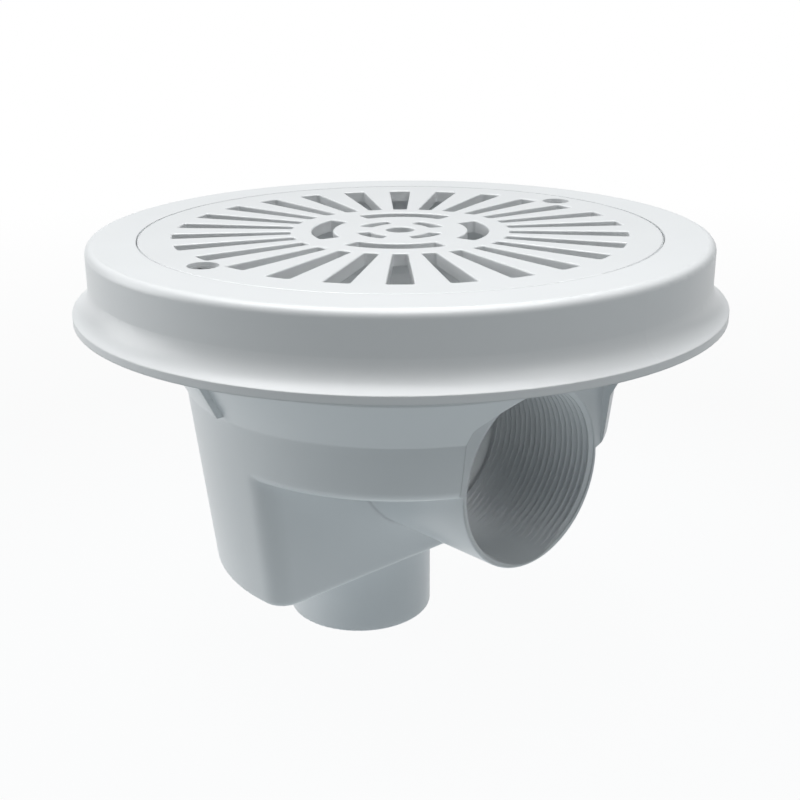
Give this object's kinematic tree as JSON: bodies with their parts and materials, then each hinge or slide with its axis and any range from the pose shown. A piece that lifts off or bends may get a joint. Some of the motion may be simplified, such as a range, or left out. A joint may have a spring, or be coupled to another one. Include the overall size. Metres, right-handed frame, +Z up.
{
  "type": "pool drain",
  "caption": "Round in-floor pool drain: slotted grille in a flanged body with a sump, a threaded side outlet and a threaded bottom port.",
  "frame": {"origin": "centre of the rim's top face, which lies in the finished pool floor", "axes": "+Z up out of the pool floor, +X out of the side outlet's mouth, the two grille screws on the Y axis"},
  "size_m": [0.2148, 0.2148, 0.1465],
  "materials": {
    "white_abs_body": "moulded, satin",
    "white_abs_grille": "moulded, satin",
    "stainless": "stainless, turned",
    "brass": "turned"
  },
  "bodies": {
    "root": {"drain_body": "white_abs_body", "grille": "white_abs_grille", "screw_front": "stainless", "screw_back": "stainless", "insert_front": "brass", "insert_back": "brass"}
  },
  "joints": []
}
